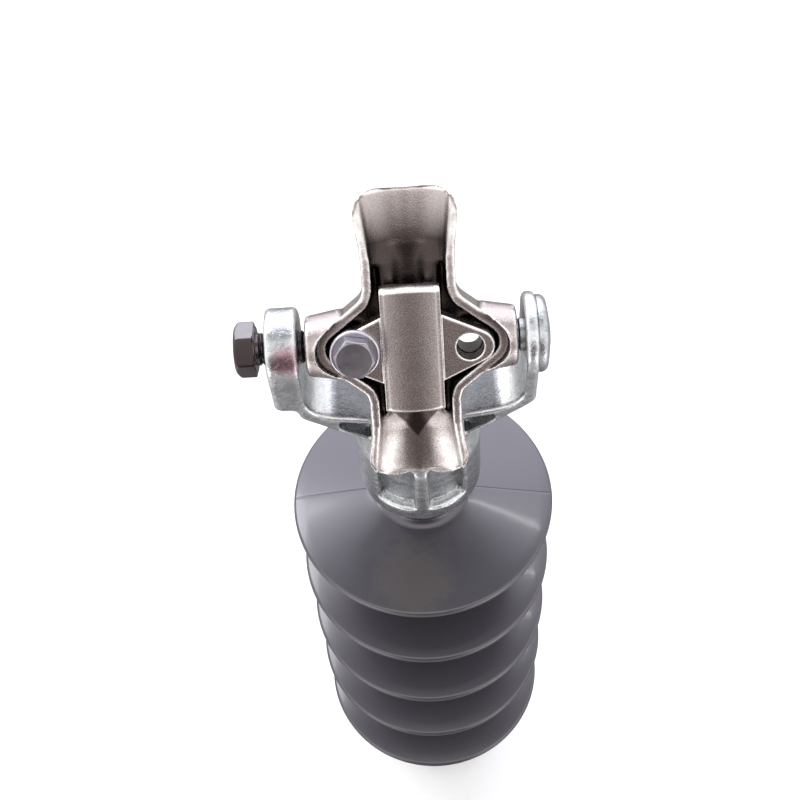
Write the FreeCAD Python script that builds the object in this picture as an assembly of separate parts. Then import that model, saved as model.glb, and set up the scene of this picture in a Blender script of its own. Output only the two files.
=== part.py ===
import FreeCAD, Part
import math
import os

# Composite line post insulator with a trunnion clamp on top.
# Millimetres, Z up along the post, X along the clamp's pivot, the viewer stands at -Y.
# The origin is the middle of the base's flat face. A "drop" is a distance below the pivot,
# and a "rise" one above the base fitting's top.

# Heights above the base face
PIVOT_HEIGHT = 520.0
BASE_HEIGHT = 74.0

# Core rod, rubber sheath and sheds
ROD_RADIUS = 19.0
SHEATH_WALL = 4.0
SHED_RADIUS = 75.0
SHED_COUNT = 5
FIRST_SHED_DROP = 157.0
LAST_SHED_RISE = 27.0
SHED_RIM = 5.0
SHED_TOP_SLOPE = math.radians(12.0)
SHED_UNDER_SLOPE = math.radians(5.0)
SHED_ROOT_ROUND = 6.0
SHED_RIM_ROUND = 2.3
SEAL_REACH = 4.5
SEAL_LENGTH = 5.5
SEAL_HOLLOW = 0.35

# Top fitting: socket ferrule
FERRULE_RADIUS = 33.3
FERRULE_DROP = 122.0
FERRULE_TOP_DROP = 76.0
RIM_HEIGHT = 12.0
RIM_ROUND = 2.0
PANEL_DEPTH = 5.0
PANEL_HALF_ANGLE = math.radians(45.0)
PANEL_ROUND = 2.0
PANEL_SILL_FALL = 1.5
PANEL_RIB = 7.0
SOCKET_DROP = 66.0
NECK_RADIUS = 25.0
NECK_DROP = 56.0
NECK_ROUND = 3.0

# Top fitting: yoke and ears
YOKE_HALF_WIDTH = 18.0
YOKE_EDGE_ROUND = 1.8
YOKE_FLOOR_DROP = 47.0
YOKE_FLOOR_ROUND = 60.0
YOKE_CORNER_DROP = 36.0
YOKE_CORNER_ROUND = 18.0
LEFT_EAR_RADIUS = 19.4
LEFT_EAR_INNER = 54.5
LEFT_EAR_THICK = 15.4
LEFT_EAR_DROP = 30.0
LEFT_EAR_ROUND = 5.0
LEFT_KNEE_OUT = 3.5
LEFT_KNEE_DROP = 37.5
LEFT_KNEE_STEP = 1.5
LEFT_KNEE_STEP_DROP = 30.5
LEFT_KNEE_ROUND = 4.0
LEFT_KNEE_STEP_ROUND = 3.0
RIGHT_EAR_RADIUS = 20.6
RIGHT_EAR_INNER = 53.5
RIGHT_EAR_THICK = 6.2
RIGHT_EAR_DROP = 33.0
RIGHT_KNEE_ROUND = 10.0
EAR_BLEND_DROP = 28.0
EAR_BLEND_ROUND = 30.0
EAR_SPRING_DROP = 3.0
ARM_FOOT = 24.0
ARM_FOOT_DROP = 64.0
ARM_SKIN = 3.5
ARM_RIM = 3.2
ARM_POCKET_DEPTH = 9.0
ARM_POCKET_OUTER = 39.0
ARM_POCKET_ROUND = 1.0

# Base fitting
BASE_RADIUS = 43.0
BASE_FLANGE = 14.0
BASE_BARREL_RADIUS = 31.0
BASE_ROUND = 3.0
BASE_SOCKET_FLOOR = 30.0
BASE_THREAD_RADIUS = 10.0
BASE_THREAD_DEPTH = 24.0
CRIMP_SIDES = 8
CRIMP_DEPTH = 1.0
CRIMP_LOW = 38.0
CRIMP_LENGTH = 28.0

# Pivot bolt on the left and pivot pin on the right
PIVOT_RADIUS = 8.0
PIVOT_TIP_CHAMFER = 1.0
PIVOT_BOLT_FLATS = 24.0
PIVOT_BOLT_HEAD = 10.0
PIVOT_BOLT_PROUD = 5.3
PIVOT_FACET_ANGLE = 47.3
PIN_HEAD_RADIUS = RIGHT_EAR_RADIUS - YOKE_EDGE_ROUND
PIN_HEAD_SHOULDER = 4.4
PIN_HEAD_SHOULDER_ROUND = 3.5
PIN_HEAD_CROWN = 6.4
PIN_HEAD_CROWN_RADIUS = 6.6
PIN_HEAD_CROWN_ROUND = 8.0

# Clamp body, in its own frame: X along the pivot, Y along the conductor, Z out of the mouth
CLAMP_TILT = 55.5
CLAMP_HALF_LENGTH = 75.2
CLAMP_END_BOW = 1.8
CLAMP_END_HALF_WIDTH = 26.2
CLAMP_CORNER_ROUND = 12.0
CLAMP_SWEEP_ROUND = 90.0
CLAMP_WAIST_HALF_WIDTH = 22.3
CLAMP_WAIST_AT = 44.0
CLAMP_SHOULDER = 24.7
DIAMOND_REACH = 53.8
DIAMOND_TIP_ROUND = 12.5
SHOULDER_ROUND = 9.0
CLAMP_WALL = 4.6
RIM_MIDDLE = 8.0
RIM_FLAT = 22.0
RIM_END = 0.5
HULL_FLOOR = -10.5
HULL_END = -9.6
HULL_ROUND = 6.0
SIDE_SWEEP_ROUND = 60.0
POCKET_FLOOR = -4.0
POCKET_END = 38.0
BOSS_LEFT_END = 51.0
BOSS_RIGHT_END = 50.2
BOSS_END_RADIUS = 14.5
BOSS_ROOT_RADIUS = 17.5
BOSS_ROOT_AT = 34.0
BOSS_EDGE_ROUND = 1.5
PIVOT_SOCKET_DEPTH = 6.4
PIVOT_ENGAGEMENT = 6.0

# Conductor seat and the bell mouths at its two ends
CONDUCTOR_RADIUS = 8.0
CONDUCTOR_AXIS = 2.0
SEAT_HALF_LENGTH = 32.0
SEAT_TOP = 0.0
SEAT_PAD_HALF_LENGTH = 39.0
TROUGH_END_DEPTH = -6.8
TROUGH_BANK = 2.0
TROUGH_BANK_FALL = 5.0
TROUGH_EDGE_LIFT = 2.0
TROUGH_EDGE_SHARE = 0.9
TROUGH_DIP = 0.15
TROUGH_GROOVE = 7.4
TROUGH_GROOVE_GROWTH = 3.0
TROUGH_SHELF = 0.5
TROUGH_BEND_SHARE = 0.57
TROUGH_BEND_RISE = 0.27
TROUGH_STATIONS = (0.0, 0.35, 0.7, 1.0)

# Keeper
KEEPER_HALF_LENGTH = 32.0
KEEPER_HALF_WIDTH = 14.2
KEEPER_BARREL = 12.3
KEEPER_SHOULDER = 15.3
KEEPER_CROWN = 17.2
KEEPER_BOTTOM = 6.5
KEEPER_GROOVE_WIDTH = 0.4
KEEPER_GROOVE = 14.6
KEEPER_LIP = 14.8
KEEPER_END_ROUND = 2.0
KEEPER_END_BOW = 1.2
KEEPER_END_SWEEP = 60.0
KEEPER_EDGE_ROUND = 1.0
KEEPER_CROWN_ROUND = 0.4
LUG_TOP = 13.7
LUG_BOTTOM = 5.7
LUG_ROOT_HALF = 16.8
LUG_TIP_ROUND = 8.0
LUG_REACH = 50.0

# Keeper bolts: two holes, one bolt
KEEPER_BOLT_SPACING = 54.8
KEEPER_BOLT_RADIUS = 6.0
KEEPER_HOLE_RADIUS = 6.6
KEEPER_BOLT_FLATS = 18.0
KEEPER_BOLT_HEAD = 7.5
KEEPER_BOLT_TURN = 50.0
KEEPER_BOLT_SHORT = 2.0
WASHER_RADIUS = 12.0
WASHER_THICK = 2.5
BOLT_BOSS_RADIUS = 10.0

# Bolt heads: the flat top's share of the width, and the chamfer's fall from it
HEAD_TOP_SHARE = 0.95
HEAD_CHAMFER = math.radians(30.0)

# Clearances, and how far a cutting shape runs past what it cuts
PIVOT_CLEARANCE = 0.08
THREAD_CLEARANCE = 0.05
SOCKET_CLEARANCE = 0.05
OVERCUT = 1.0
FAR = 100.0
TINY = 0.01
SAME_PLACE = 0.0001

SHEATH_RADIUS = ROD_RADIUS + SHEATH_WALL
FERRULE_BOTTOM = PIVOT_HEIGHT - FERRULE_DROP
FIRST_SHED_HEIGHT = PIVOT_HEIGHT - FIRST_SHED_DROP
SHED_PITCH = (FIRST_SHED_HEIGHT - BASE_HEIGHT - LAST_SHED_RISE) / (SHED_COUNT - 1)
LEFT_FACE = -LEFT_EAR_INNER - LEFT_EAR_THICK
RIGHT_FACE = RIGHT_EAR_INNER + RIGHT_EAR_THICK
UP = FreeCAD.Vector(0, 0, 1)
ACROSS = FreeCAD.Vector(1, 0, 0)
ALONG = FreeCAD.Vector(0, 1, 0)
HERE = FreeCAD.Vector(0, 0, 0)


def corner_arc(before, corner, after, radius):
    """Start, middle and end of the arc that rounds one corner of an outline."""
    one = (before - corner).normalize()
    two = (after - corner).normalize()
    half = one.getAngle(two) / 2
    reach = radius / math.tan(half)
    centre = corner + (one + two).normalize() * (radius / math.sin(half))
    middle = centre + (corner - centre).normalize() * radius
    return corner + one * reach, middle, corner + two * reach


def outline(points):
    """Closed wire through corners given as (place, radius), with round corners."""
    edges = []
    ends = []
    count = len(points)
    for i in range(count):
        place, radius = points[i]
        if radius:
            arc = corner_arc(points[i - 1][0], place, points[(i + 1) % count][0], radius)
            ends.append(arc)
        else:
            ends.append((place, place, place))
    for i in range(count):
        start, middle, end = ends[i]
        if start.distanceToPoint(end) > SAME_PLACE:
            edges.append(Part.Arc(start, middle, end).toShape())
        following = ends[(i + 1) % count][0]
        if end.distanceToPoint(following) > SAME_PLACE:
            edges.append(Part.LineSegment(end, following).toShape())
    return Part.Wire(edges)


def plan(corners, height):
    """Outline in the XY plane at a height."""
    return outline([(FreeCAD.Vector(x, y, height), r) for x, y, r in corners])


def front(corners, y):
    """Outline in an XZ plane."""
    return outline([(FreeCAD.Vector(x, y, z), r) for x, z, r in corners])


def side(corners, x):
    """Outline in a YZ plane."""
    return outline([(FreeCAD.Vector(x, y, z), r) for y, z, r in corners])


def block(wire, reach):
    """Solid made by moving a closed outline along a vector."""
    return Part.Face(wire).extrude(reach)


def turned(corners):
    """Solid turned about Z from corners given as (radius, height, rounding)."""
    return Part.Face(front(corners, 0)).revolve(HERE, UP, 360)


def rod(radius, length, start, axis=UP):
    """Plain cylinder."""
    return Part.makeCylinder(radius, length, start, axis)


def hexagon(flats, height, start, axis, turn):
    """Hexagonal head with a chamfered top; its washer face is at start."""
    radius = flats / 2 / math.cos(math.radians(30))
    corners = []
    for i in range(6):
        angle = math.radians(60 * i + turn)
        corners.append((radius * math.cos(angle), radius * math.sin(angle), 0))
    head = block(plan(corners, 0), UP * height)
    top_radius = flats / 2 * HEAD_TOP_SHARE
    fall = (radius + OVERCUT - top_radius) * math.tan(HEAD_CHAMFER)
    cap = turned([
        (0, 0, 0),
        (radius + OVERCUT, 0, 0),
        (radius + OVERCUT, height - fall, 0),
        (top_radius, height, 0),
        (0, height, 0),
    ])
    head = head.common(cap)
    head.Placement = FreeCAD.Placement(start, FreeCAD.Rotation(UP, axis))
    return head


def round_edges(shape, radius, wanted):
    """Round the edges that a test picks out."""
    return shape.makeFillet(radius, [edge for edge in shape.Edges if wanted(edge)])


def mirrored(corners):
    """Corners of one quarter, from the X axis to the Y axis, set out round all four."""
    upper = corners + [(-x, y, r) for x, y, r in reversed(corners)]
    lower = [(x, -y, r) for x, y, r in reversed(upper)]
    whole = upper + lower
    return [p for i, p in enumerate(whole) if p[:2] != whole[i - 1][:2]]


def core_rod():
    """Glass-fibre rod from the base socket to the top socket."""
    top = PIVOT_HEIGHT - SOCKET_DROP
    return rod(ROD_RADIUS, top - BASE_SOCKET_FLOOR, UP * BASE_SOCKET_FLOOR)


def shed_profile(middle):
    """Corners of one shed, from its lower root to its upper root; middle is the rim's height."""
    top = middle + SHED_RIM / 2
    low = middle - SHED_RIM / 2
    span = SHED_RADIUS - SHEATH_RADIUS
    return [
        (SHEATH_RADIUS, low + span * math.tan(SHED_UNDER_SLOPE), SHED_ROOT_ROUND),
        (SHED_RADIUS, low, SHED_RIM_ROUND),
        (SHED_RADIUS, top, SHED_RIM_ROUND),
        (SHEATH_RADIUS, top + span * math.tan(SHED_TOP_SLOPE), SHED_ROOT_ROUND),
    ]


def housing():
    """Silicone rubber sheath with its sheds, one moulding on the rod."""
    corners = [(ROD_RADIUS, FERRULE_BOTTOM, 0), (ROD_RADIUS, BASE_HEIGHT, 0)]
    corners.append((SHEATH_RADIUS, BASE_HEIGHT, 0))
    for i in reversed(range(SHED_COUNT)):
        corners += shed_profile(FIRST_SHED_HEIGHT - i * SHED_PITCH)
    corners.append((SHEATH_RADIUS, FERRULE_BOTTOM, 0))
    return turned(corners)


def seal(height, way):
    """Bead of sealant in the corner between the sheath and a metal fitting."""
    return turned([
        (SHEATH_RADIUS, height, 0),
        (SHEATH_RADIUS + SEAL_REACH, height, 0),
        (SHEATH_RADIUS + SEAL_HOLLOW * SEAL_REACH, height + way * SEAL_LENGTH / 2, 0),
        (SHEATH_RADIUS, height + way * SEAL_LENGTH, 0),
    ])


def ferrule():
    """Socket end of the top fitting, with recessed panels and a rib at front and back."""
    top = PIVOT_HEIGHT - FERRULE_TOP_DROP
    shell = turned([
        (0, FERRULE_BOTTOM, 0),
        (FERRULE_RADIUS, FERRULE_BOTTOM, RIM_ROUND),
        (FERRULE_RADIUS, top, NECK_ROUND),
        (NECK_RADIUS, PIVOT_HEIGHT - NECK_DROP, NECK_ROUND),
        (0, PIVOT_HEIGHT - NECK_DROP, 0),
    ])
    sill = FERRULE_BOTTOM + RIM_HEIGHT
    panel_radius = FERRULE_RADIUS - PANEL_DEPTH
    outside = FERRULE_RADIUS + PANEL_DEPTH
    ring = turned([
        (panel_radius, sill, PANEL_ROUND),
        (outside, sill - PANEL_SILL_FALL, 0),
        (outside, top + NECK_ROUND, 0),
        (panel_radius, top + NECK_ROUND, 0),
    ])
    low = FERRULE_BOTTOM + RIM_HEIGHT / 2
    spread = FAR * math.tan(PANEL_HALF_ANGLE)
    for way in (-1, 1):
        wedge = plan([(0, 0, 0), (spread, way * FAR, 0), (-spread, way * FAR, 0)], low)
        window = ring.common(block(wedge, UP * FAR))
        rib = Part.makeBox(PANEL_RIB, FAR, FAR)
        rib.translate(FreeCAD.Vector(-PANEL_RIB / 2, min(0, way * FAR), low))
        shell = shell.cut(window.cut(rib))
    return shell


def arm_foot_line(x, corner_x, corner_z):
    """Height of an arm's lower edge at a distance from the middle."""
    share = (x - ARM_FOOT) / (corner_x - ARM_FOOT)
    return -ARM_FOOT_DROP + share * (corner_z + ARM_FOOT_DROP)


def arm_pocket(way, corner_x, corner_z):
    """Corners of the hollow in the front or back face of one arm, under its skin."""
    floor_slope = (YOKE_FLOOR_DROP - YOKE_CORNER_DROP) / LEFT_EAR_INNER
    corners = []
    for x in (ARM_FOOT, ARM_POCKET_OUTER):
        corners.append((x, -YOKE_FLOOR_DROP + floor_slope * x - ARM_SKIN))
    for x in (ARM_POCKET_OUTER, ARM_FOOT):
        corners.append((x, arm_foot_line(x, corner_x, corner_z) + ARM_RIM))
    return [(way * x, z + PIVOT_HEIGHT, ARM_POCKET_ROUND) for x, z in corners]


def ear_side(way, radius):
    """One half of the yoke seen from its side: a round ear on a slightly narrower arm."""
    half = [
        (YOKE_HALF_WIDTH, PIVOT_HEIGHT - ARM_FOOT_DROP, 0),
        (YOKE_HALF_WIDTH, PIVOT_HEIGHT - EAR_BLEND_DROP, EAR_BLEND_ROUND),
        (radius, PIVOT_HEIGHT - EAR_SPRING_DROP, EAR_BLEND_ROUND),
        (radius, PIVOT_HEIGHT + radius, radius - TINY),
    ]
    wire = side(half + [(-y, z, r) for y, z, r in reversed(half)], 0)
    return block(wire, ACROSS * way * FAR)


def top_fitting():
    """Galvanized casting: ferrule, U-shaped yoke, thick tapped left ear and thin right ear."""
    tall = RIGHT_EAR_RADIUS + OVERCUT
    knee = -LEFT_EAR_INNER - LEFT_KNEE_OUT
    corners = [
        (-LEFT_EAR_INNER, tall, 0),
        (-LEFT_EAR_INNER, -YOKE_CORNER_DROP, YOKE_CORNER_ROUND),
        (0, -YOKE_FLOOR_DROP, YOKE_FLOOR_ROUND),
        (RIGHT_EAR_INNER, -YOKE_CORNER_DROP, YOKE_CORNER_ROUND),
        (RIGHT_EAR_INNER, tall, 0),
        (RIGHT_FACE, tall, 0),
        (RIGHT_FACE, -RIGHT_EAR_DROP, RIGHT_KNEE_ROUND),
        (ARM_FOOT, -ARM_FOOT_DROP, 0),
        (-ARM_FOOT, -ARM_FOOT_DROP, 0),
        (knee, -LEFT_KNEE_DROP, LEFT_KNEE_ROUND),
        (knee - LEFT_KNEE_STEP, -LEFT_KNEE_STEP_DROP, LEFT_KNEE_STEP_ROUND),
        (LEFT_FACE, -LEFT_EAR_DROP, LEFT_EAR_ROUND),
        (LEFT_FACE, tall, 0),
    ]
    wire = front([(x, z + PIVOT_HEIGHT, r) for x, z, r in corners], -tall)
    slab = block(wire, ALONG * (2 * tall))
    yoke = slab.common(ear_side(-1, LEFT_EAR_RADIUS)).fuse(slab.common(ear_side(1, RIGHT_EAR_RADIUS)))

    def rim_edge(edge):
        box = edge.BoundBox
        return box.ZLength > TINY and max(box.XLength, box.YLength) > TINY

    yoke = round_edges(yoke.removeSplitter(), YOKE_EDGE_ROUND, rim_edge)
    for pocket in (arm_pocket(-1, -knee, -LEFT_KNEE_DROP), arm_pocket(1, RIGHT_FACE, -RIGHT_EAR_DROP)):
        for way in (-1, 1):
            face = front(pocket, way * (YOKE_HALF_WIDTH + OVERCUT))
            yoke = yoke.cut(block(face, ALONG * -way * (ARM_POCKET_DEPTH + OVERCUT)))
    body = yoke.fuse(ferrule()).removeSplitter()
    body = body.cut(rod(ROD_RADIUS + SOCKET_CLEARANCE, FERRULE_DROP - SOCKET_DROP, UP * FERRULE_BOTTOM))
    for face, thick in ((LEFT_FACE, LEFT_EAR_THICK), (RIGHT_EAR_INNER, RIGHT_EAR_THICK)):
        start = FreeCAD.Vector(face - OVERCUT, 0, PIVOT_HEIGHT)
        body = body.cut(rod(PIVOT_RADIUS + THREAD_CLEARANCE, thick + 2 * OVERCUT, start, ACROSS))
    return body


def base_fitting():
    """Crimped galvanized base with a flat face and a tapped hole."""
    body = turned([
        (0, 0, 0),
        (BASE_RADIUS, 0, BASE_ROUND / 2),
        (BASE_RADIUS, BASE_FLANGE, BASE_ROUND),
        (BASE_BARREL_RADIUS, BASE_FLANGE, 2 * BASE_ROUND),
        (BASE_BARREL_RADIUS, BASE_HEIGHT, BASE_ROUND),
        (0, BASE_HEIGHT, 0),
    ])
    for i in range(CRIMP_SIDES):
        flat = Part.makeBox(BASE_BARREL_RADIUS, 2 * BASE_BARREL_RADIUS, CRIMP_LENGTH)
        flat.translate(FreeCAD.Vector(BASE_BARREL_RADIUS - CRIMP_DEPTH, -BASE_BARREL_RADIUS, CRIMP_LOW))
        flat.rotate(HERE, UP, 360.0 * i / CRIMP_SIDES)
        body = body.cut(flat)
    socket_length = BASE_HEIGHT - BASE_SOCKET_FLOOR + OVERCUT
    body = body.cut(rod(ROD_RADIUS + SOCKET_CLEARANCE, socket_length, UP * BASE_SOCKET_FLOOR))
    return body.cut(rod(BASE_THREAD_RADIUS, BASE_THREAD_DEPTH, HERE))


def pivot_shank(inner, outer):
    """Plain shank along the pivot from its chamfered inner end to the ear's outside."""
    start = FreeCAD.Vector(inner, 0, PIVOT_HEIGHT)
    shank = rod(PIVOT_RADIUS, abs(outer - inner), start, ACROSS * math.copysign(1, outer - inner))

    def tip(edge):
        return edge.BoundBox.XLength < TINY and abs(edge.BoundBox.XMin - inner) < TINY

    return shank.makeChamfer(PIVOT_TIP_CHAMFER, [edge for edge in shank.Edges if tip(edge)])


def pivot_bolt():
    """Hexagon bolt screwed through the left ear, its plain end in the clamp's left socket."""
    under_head = LEFT_FACE - PIVOT_BOLT_PROUD
    place = FreeCAD.Vector(under_head, 0, PIVOT_HEIGHT)
    head = hexagon(PIVOT_BOLT_FLATS, PIVOT_BOLT_HEAD, place, -ACROSS, PIVOT_FACET_ANGLE)
    return head.fuse(pivot_shank(PIVOT_ENGAGEMENT - BOSS_LEFT_END, under_head)).removeSplitter()


def pivot_pin():
    """Pin set in the right ear: low domed head outside, plain end in the clamp's right socket."""
    head = turned([
        (0, 0, 0),
        (PIN_HEAD_RADIUS, 0, 0),
        (PIN_HEAD_RADIUS, PIN_HEAD_SHOULDER, PIN_HEAD_SHOULDER_ROUND),
        (PIN_HEAD_CROWN_RADIUS, PIN_HEAD_CROWN, PIN_HEAD_CROWN_ROUND),
        (0, PIN_HEAD_CROWN, 0),
    ])
    place = FreeCAD.Vector(RIGHT_FACE, 0, PIVOT_HEIGHT)
    head.Placement = FreeCAD.Placement(place, FreeCAD.Rotation(UP, ACROSS))
    return head.fuse(pivot_shank(BOSS_RIGHT_END - PIVOT_ENGAGEMENT, RIGHT_FACE)).removeSplitter()


def set_clamp(shape):
    """Move a piece from the clamp's own frame to its tilted place on the pivot."""
    shape.rotate(HERE, ACROSS, CLAMP_TILT)
    shape.translate(UP * PIVOT_HEIGHT)
    return shape


def clamp_plan(inset, tail):
    """Outline of the clamp body from above, moved in by a wall; tail is its end beyond the diamond."""
    slope = math.atan2(CLAMP_SHOULDER, DIAMOND_REACH - CLAMP_WAIST_HALF_WIDTH)
    waist = CLAMP_WAIST_HALF_WIDTH - inset
    reach = DIAMOND_REACH - inset / math.sin(slope)
    shoulder = (reach - waist) * math.tan(slope)
    diamond = [
        (reach, 0, DIAMOND_TIP_ROUND - inset),
        (waist, shoulder, SHOULDER_ROUND + inset),
    ]
    return mirrored(diamond + tail)


def trough(v, width):
    """Closed section of the conductor trough at a place along it: walls and a round bottom."""
    run = (abs(v) - SEAT_HALF_LENGTH) / (CLAMP_HALF_LENGTH - SEAT_HALF_LENGTH)
    bottom = CONDUCTOR_AXIS - CONDUCTOR_RADIUS - TROUGH_DIP
    deep = bottom + run * run * (TROUGH_END_DEPTH - bottom)
    bank = SEAT_TOP + TROUGH_BANK - run * TROUGH_BANK_FALL
    groove = TROUGH_GROOVE + TROUGH_GROOVE_GROWTH * run
    shelf = deep + (bank - deep) * TROUGH_SHELF
    right_half = [
        (TROUGH_BEND_SHARE * groove, deep + (shelf - deep) * TROUGH_BEND_RISE),
        (groove, shelf),
        (TROUGH_EDGE_SHARE * width, bank),
        (width, bank + TROUGH_EDGE_LIFT),
    ]
    across = [(-x, z) for x, z in reversed(right_half)] + [(0, deep)] + right_half
    curve = Part.BSplineCurve()
    curve.interpolate([FreeCAD.Vector(x, v, z) for x, z in across])
    top = RIM_MIDDLE + OVERCUT
    corners = [
        FreeCAD.Vector(width, v, across[-1][1]),
        FreeCAD.Vector(width, v, top),
        FreeCAD.Vector(-width, v, top),
        FreeCAD.Vector(-width, v, across[0][1]),
    ]
    walls = [Part.LineSegment(a, b).toShape() for a, b in zip(corners, corners[1:])]
    return Part.Wire([curve.toShape()] + walls)


def trough_end(way):
    """Bell mouth of the trough from the seat to past one end of the body."""
    sections = []
    for share in TROUGH_STATIONS:
        v = SEAT_HALF_LENGTH + share * (CLAMP_HALF_LENGTH + OVERCUT - SEAT_HALF_LENGTH)
        grow = max(0.0, (v - CLAMP_WAIST_AT) / (CLAMP_HALF_LENGTH - CLAMP_WAIST_AT))
        outer = CLAMP_WAIST_HALF_WIDTH + grow * (CLAMP_END_HALF_WIDTH - CLAMP_WAIST_HALF_WIDTH)
        sections.append(trough(way * v, outer - CLAMP_WALL))
    return Part.makeLoft(sections, True)


def clamp_prism(height):
    """Upright prism on the clamp body's outer outline, from a height up."""
    horn = [
        (CLAMP_WAIST_HALF_WIDTH, CLAMP_WAIST_AT, CLAMP_SWEEP_ROUND),
        (CLAMP_END_HALF_WIDTH, CLAMP_HALF_LENGTH - CLAMP_END_BOW, CLAMP_CORNER_ROUND),
        (0, CLAMP_HALF_LENGTH, CLAMP_SWEEP_ROUND),
    ]
    return block(plan(clamp_plan(0, horn), height), UP * FAR)


def clamp_hull():
    """Outside of the clamp body without its bosses: plan and side outlines, lower edges rounded."""
    outer = clamp_prism(-FAR / 2)
    end = CLAMP_HALF_LENGTH + OVERCUT
    silhouette = side([
        (-end, HULL_END, 0),
        (-SEAT_HALF_LENGTH, HULL_FLOOR, SIDE_SWEEP_ROUND),
        (SEAT_HALF_LENGTH, HULL_FLOOR, SIDE_SWEEP_ROUND),
        (end, HULL_END, 0),
        (end, RIM_END, 0),
        (RIM_FLAT, RIM_MIDDLE, SIDE_SWEEP_ROUND),
        (-RIM_FLAT, RIM_MIDDLE, SIDE_SWEEP_ROUND),
        (-end, RIM_END, 0),
    ], -FAR)
    body = outer.common(block(silhouette, ACROSS * (2 * FAR)))

    def hull_edge(edge):
        box = edge.BoundBox
        across_body = box.YLength < TINY and abs(box.YMax) < CLAMP_HALF_LENGTH - 2 * CLAMP_END_BOW
        return box.ZMax < HULL_FLOOR / 2 and not across_body

    return round_edges(body, HULL_ROUND, hull_edge)


def pivot_boss(way, reach):
    """Conical boss that carries one pivot socket."""
    start = ACROSS * (way * BOSS_ROOT_AT)
    cone = Part.makeCone(BOSS_ROOT_RADIUS, BOSS_END_RADIUS, reach - BOSS_ROOT_AT, start, ACROSS * way)

    def end_edge(edge):
        return edge.BoundBox.XLength < TINY and abs(abs(edge.BoundBox.XMin) - reach) < TINY

    return round_edges(cone, BOSS_EDGE_ROUND, end_edge)


def clamp_body():
    """Aluminium saddle: boat-shaped shell with a diamond middle, pivot bosses and bolt bosses."""
    body = clamp_hull()
    over_rim = clamp_prism(RIM_MIDDLE)
    for way, reach in ((-1, BOSS_LEFT_END), (1, BOSS_RIGHT_END)):
        body = body.fuse(pivot_boss(way, reach).cut(over_rim))
    waist_end = [(CLAMP_WAIST_HALF_WIDTH - CLAMP_WALL, POCKET_END, 0)]
    pocket = block(plan(clamp_plan(CLAMP_WALL, waist_end), POCKET_FLOOR), UP * FAR)
    seat_pad = Part.makeBox(2 * KEEPER_HALF_WIDTH, 2 * SEAT_PAD_HALF_LENGTH, SEAT_TOP - POCKET_FLOOR)
    seat_pad.translate(FreeCAD.Vector(-KEEPER_HALF_WIDTH, -SEAT_PAD_HALF_LENGTH, POCKET_FLOOR))
    pocket = pocket.cut(seat_pad)
    bolt_places = [ACROSS * (way * KEEPER_BOLT_SPACING / 2) for way in (-1, 1)]
    for place in bolt_places:
        boss = rod(BOLT_BOSS_RADIUS, LUG_BOTTOM - POCKET_FLOOR, place + UP * POCKET_FLOOR)
        pocket = pocket.cut(boss)
    body = body.cut(pocket)
    for way in (-1, 1):
        body = body.cut(trough_end(way))
    seat_start = FreeCAD.Vector(0, -SEAT_HALF_LENGTH - OVERCUT, CONDUCTOR_AXIS)
    body = body.cut(rod(CONDUCTOR_RADIUS, 2 * (SEAT_HALF_LENGTH + OVERCUT), seat_start, ALONG))
    for place in bolt_places:
        body = body.cut(rod(KEEPER_BOLT_RADIUS, FAR, place - UP * FAR / 2))
    for way, reach in ((-1, BOSS_LEFT_END), (1, BOSS_RIGHT_END)):
        start = ACROSS * (way * (reach + OVERCUT))
        depth = PIVOT_SOCKET_DEPTH + OVERCUT
        body = body.cut(rod(PIVOT_RADIUS + PIVOT_CLEARANCE, depth, start, ACROSS * -way))
    return set_clamp(body)


def keeper_barrel():
    """Bar of the keeper: low crowned top, a narrow step along each side, bowed ends."""
    right_side = [
        (KEEPER_BARREL, KEEPER_SHOULDER),
        (KEEPER_BARREL + KEEPER_GROOVE_WIDTH, KEEPER_GROOVE),
        (KEEPER_HALF_WIDTH, KEEPER_LIP),
        (KEEPER_HALF_WIDTH, KEEPER_BOTTOM),
    ]
    corners = right_side + [(-x, z) for x, z in reversed(right_side)]
    places = [FreeCAD.Vector(x, -FAR / 2, z) for x, z in corners]
    crown = Part.Arc(places[-1], FreeCAD.Vector(0, -FAR / 2, KEEPER_CROWN), places[0])
    edges = [crown.toShape()]
    edges += [Part.LineSegment(a, b).toShape() for a, b in zip(places, places[1:])]
    bar = block(Part.Wire(edges), ALONG * FAR)
    wide = KEEPER_HALF_WIDTH + OVERCUT
    corner = KEEPER_HALF_LENGTH - KEEPER_END_BOW
    ends = plan([
        (wide, -corner, KEEPER_END_ROUND),
        (wide, corner, KEEPER_END_ROUND),
        (0, KEEPER_HALF_LENGTH, KEEPER_END_SWEEP),
        (-wide, corner, KEEPER_END_ROUND),
        (-wide, -corner, KEEPER_END_ROUND),
        (0, -KEEPER_HALF_LENGTH, KEEPER_END_SWEEP),
    ], 0)
    bar = bar.common(block(ends, UP * FAR))

    def end_edge(edge):
        box = edge.BoundBox
        at_end = min(abs(box.YMin), abs(box.YMax)) > corner - KEEPER_END_ROUND
        return at_end and box.ZMin > KEEPER_SHOULDER - TINY and box.ZMax > KEEPER_SHOULDER + TINY

    return round_edges(bar, KEEPER_CROWN_ROUND, end_edge)


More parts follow.
